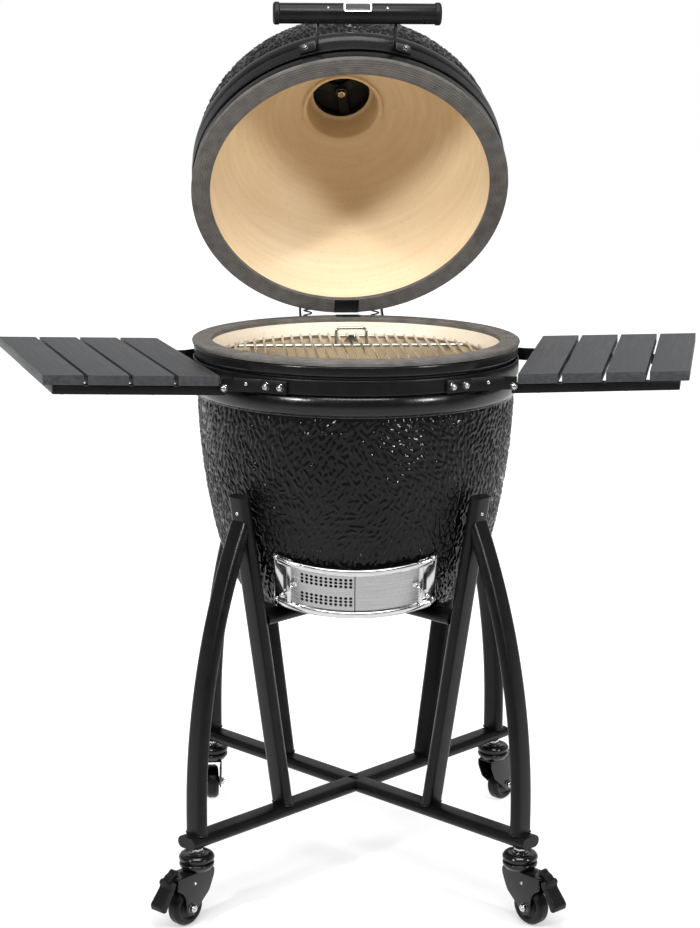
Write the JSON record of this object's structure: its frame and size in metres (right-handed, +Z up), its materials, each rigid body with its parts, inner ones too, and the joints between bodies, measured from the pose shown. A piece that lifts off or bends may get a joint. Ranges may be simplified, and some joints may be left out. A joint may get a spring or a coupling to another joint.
{
  "type": "kamado ceramic grill",
  "caption": "Ceramic kamado grill with a hinged domed lid on a four-leg rolling cart, with a sliding draft door, top vent and folding slatted side tables.",
  "frame": {"origin": "on the floor, on the vertical axis of the bowl", "axes": "+Z up, -Y to the front (draft door), +X to the viewer's right"},
  "size_m": [1.2238, 0.7974, 1.4556],
  "materials": {
    "black_glaze": "gloss black glaze with a relief of short strokes",
    "woven_gasket": "woven grey-brown mesh over felt",
    "cream_ceramic": "matte cream",
    "cast_iron": "black, slightly rough",
    "stainless": "brushed",
    "black_slat": "matte black with fine grain",
    "wheel_black": "black moulded",
    "black_gloss_steel": "gloss black",
    "spring_steel": "black spring wire",
    "black_powder_coat": "satin black powder coat"
  },
  "bodies": {
    "stand_and_bowl": {"bowl_band": "black_powder_coat", "bowl_cradle": "black_powder_coat", "bowl_gasket": "woven_gasket", "bowl_shell": "black_glaze", "charcoal_grate": "cast_iron", "door_frame": "stainless", "fire_box": "cream_ceramic", "fire_ring": "cream_ceramic", "heat_deflector": "cream_ceramic", "hinge_lower": "black_powder_coat", "leg_back_left": "black_powder_coat", "leg_back_right": "black_powder_coat", "leg_front_left": "black_powder_coat", "leg_front_right": "black_powder_coat", "post_back_left": "black_powder_coat", "post_back_right": "black_powder_coat", "post_front_left": "black_powder_coat", "post_front_right": "black_powder_coat", "rail_left": "black_powder_coat", "rail_right": "black_powder_coat", "spring_left": "spring_steel", "spring_right": "spring_steel", "table_bracket_left_back": "black_powder_coat", "table_bracket_left_front": "black_powder_coat", "table_bracket_right_back": "black_powder_coat", "table_bracket_right_front": "black_powder_coat"},
    "lid": {"lid_shell": "black_glaze", "lid_gasket": "woven_gasket", "lid_band": "black_powder_coat", "handle_grip": "black_gloss_steel", "handle_arm_left": "black_gloss_steel", "handle_arm_right": "black_gloss_steel", "handle_badge": "stainless", "thermometer": "stainless", "vent_base": "cast_iron", "hinge_upper": "black_powder_coat"},
    "vent_cap_body": {"vent_cap": "cast_iron"},
    "slider_perforated": {"door_slider_perforated": "stainless"},
    "slider_plain": {"door_slider_plain": "stainless"},
    "grid": {"cooking_grid": "stainless"},
    "table_left": {"slat_left_1": "black_slat", "slat_left_2": "black_slat", "slat_left_3": "black_slat", "slat_left_4": "black_slat", "table_frame_left": "black_powder_coat"},
    "table_right": {"slat_right_1": "black_slat", "slat_right_2": "black_slat", "slat_right_3": "black_slat", "slat_right_4": "black_slat", "table_frame_right": "black_powder_coat"},
    "swivel_front_left": {"caster_fork_front_left": "black_gloss_steel"},
    "wheel_front_left": {"caster_wheel_front_left": "wheel_black"},
    "swivel_front_right": {"caster_fork_front_right": "black_gloss_steel"},
    "wheel_front_right": {"caster_wheel_front_right": "wheel_black"},
    "swivel_back_left": {"caster_fork_back_left": "black_gloss_steel"},
    "wheel_back_left": {"caster_wheel_back_left": "wheel_black"},
    "swivel_back_right": {"caster_fork_back_right": "black_gloss_steel"},
    "wheel_back_right": {"caster_wheel_back_right": "wheel_black"},
    "brake_front_left": {"brake_pedal_front_left": "wheel_black"},
    "brake_front_right": {"brake_pedal_front_right": "wheel_black"}
  },
  "joints": [
    {"name": "lid_hinge", "type": "hinge", "parent": "stand_and_bowl", "child": "lid", "pos_m": [-0.02361, 0.28024, 0.8873], "axis": [0.9976, 0.0698, 0], "range_deg": [0, 57], "deforming": ["spring_left", "spring_right"]},
    {"name": "vent_cap_turn", "type": "hinge", "parent": "lid", "child": "vent_cap_body", "pos_m": [-0.02723, 0.38935, 1.29344], "axis": [-0.0585, 0.8366, 0.5446], "range_deg": [-60, 60]},
    {"name": "perforated_slider_slide", "type": "hinge", "parent": "stand_and_bowl", "child": "slider_perforated", "pos_m": [0, 0.00116, 0.57162], "axis": [0, -0.3551, 0.9348], "range_deg": [-8, 0]},
    {"name": "plain_slider_slide", "type": "hinge", "parent": "stand_and_bowl", "child": "slider_plain", "pos_m": [0, 0.00116, 0.57162], "axis": [0, -0.3551, 0.9348], "range_deg": [0, 8]},
    {"name": "cooking_grid_lift", "type": "slide", "parent": "stand_and_bowl", "child": "grid", "axis": [0, 0, 1], "range_m": [0, 0.08]},
    {"name": "table_left_fold", "type": "hinge", "parent": "stand_and_bowl", "child": "table_left", "pos_m": [-0.20841, -0.21506, 0.8615], "axis": [-0.3156, 0.9489, 0], "range_deg": [-82, 0]},
    {"name": "table_right_fold", "type": "hinge", "parent": "stand_and_bowl", "child": "table_right", "pos_m": [0.24948, -0.18304, 0.8615], "axis": [0.1805, 0.9836, 0], "range_deg": [0, 82]},
    {"name": "caster_swivel_front_left", "type": "hinge", "parent": "stand_and_bowl", "child": "swivel_front_left", "pos_m": [-0.25238, -0.26508, 0.1], "axis": [0, 0, 1], "continuous": true},
    {"name": "wheel_spin_front_left", "type": "hinge", "parent": "swivel_front_left", "child": "wheel_front_left", "pos_m": [-0.27009, -0.28545, 0.031], "axis": [-0.7547, 0.6561, 0], "continuous": true},
    {"name": "caster_swivel_front_right", "type": "hinge", "parent": "stand_and_bowl", "child": "swivel_front_right", "pos_m": [0.26868, -0.25598, 0.1], "axis": [0, 0, 1], "continuous": true},
    {"name": "wheel_spin_front_right", "type": "hinge", "parent": "swivel_front_right", "child": "wheel_front_right", "pos_m": [0.28674, -0.27605, 0.031], "axis": [-0.7431, -0.6691, 0], "continuous": true},
    {"name": "caster_swivel_back_left", "type": "hinge", "parent": "stand_and_bowl", "child": "swivel_back_left", "pos_m": [-0.26148, 0.25598, 0.1], "axis": [0, 0, 1], "continuous": true},
    {"name": "wheel_spin_back_left", "type": "hinge", "parent": "swivel_back_left", "child": "wheel_back_left", "pos_m": [-0.2643, 0.28283, 0.031], "axis": [0.9945, 0.1045, 0], "continuous": true},
    {"name": "caster_swivel_back_right", "type": "hinge", "parent": "stand_and_bowl", "child": "swivel_back_right", "pos_m": [0.25958, 0.26508, 0.1], "axis": [0, 0, 1], "continuous": true},
    {"name": "wheel_spin_back_right", "type": "hinge", "parent": "swivel_back_right", "child": "wheel_back_right", "pos_m": [0.2773, 0.28545, 0.031], "axis": [0.7547, -0.6561, 0], "continuous": true},
    {"name": "brake_pedal_press_front_left", "type": "hinge", "parent": "swivel_front_left", "child": "brake_front_left", "pos_m": [-0.2947, -0.31376, 0.078], "axis": [-0.7547, 0.6561, 0], "range_deg": [-8, 8]},
    {"name": "brake_pedal_press_front_right", "type": "hinge", "parent": "swivel_front_right", "child": "brake_front_right", "pos_m": [0.31184, -0.30391, 0.078], "axis": [-0.7431, -0.6691, 0], "range_deg": [-8, 8]}
  ]
}
